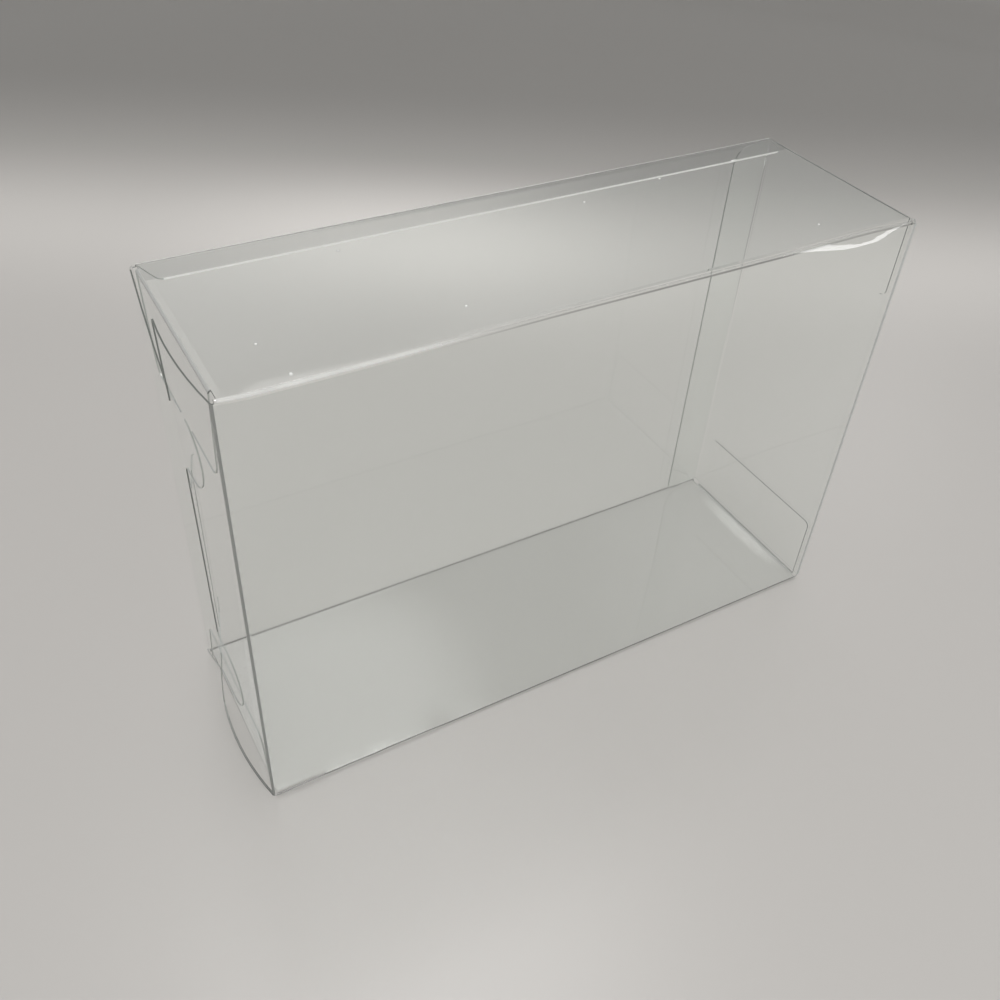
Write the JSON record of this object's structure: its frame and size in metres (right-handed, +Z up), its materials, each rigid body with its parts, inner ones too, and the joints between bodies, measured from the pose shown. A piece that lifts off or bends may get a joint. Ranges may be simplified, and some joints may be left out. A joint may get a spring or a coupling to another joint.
{
  "type": "clear folding box protector",
  "caption": "Clear folded plastic sleeve that guards a boxed game: glued lap seam, hinged tuck flap at one end and an interlocking snap-lock at the other.",
  "frame": {"origin": "under the middle of the part, on the underside of the bottom panel", "axes": "+X along the long side towards the tuck flap, +Y from the front panel to the rear panel, +Z up"},
  "size_m": [0.254, 0.0776, 0.176],
  "materials": {
    "clear_sheet": "clear glossy plastic sheet",
    "clear_flap": "clear glossy plastic sheet"
  },
  "bodies": {
    "sleeve": {"folded_sheet": "clear_sheet"},
    "flap": {"tuck_flap": "clear_flap"}
  },
  "joints": [
    {"name": "tuck_flap_hinge", "type": "hinge", "parent": "sleeve", "child": "flap", "pos_m": [0.127, -0.03885, 0.088], "axis": [0, 0, -1], "range_deg": [0, 180]}
  ]
}
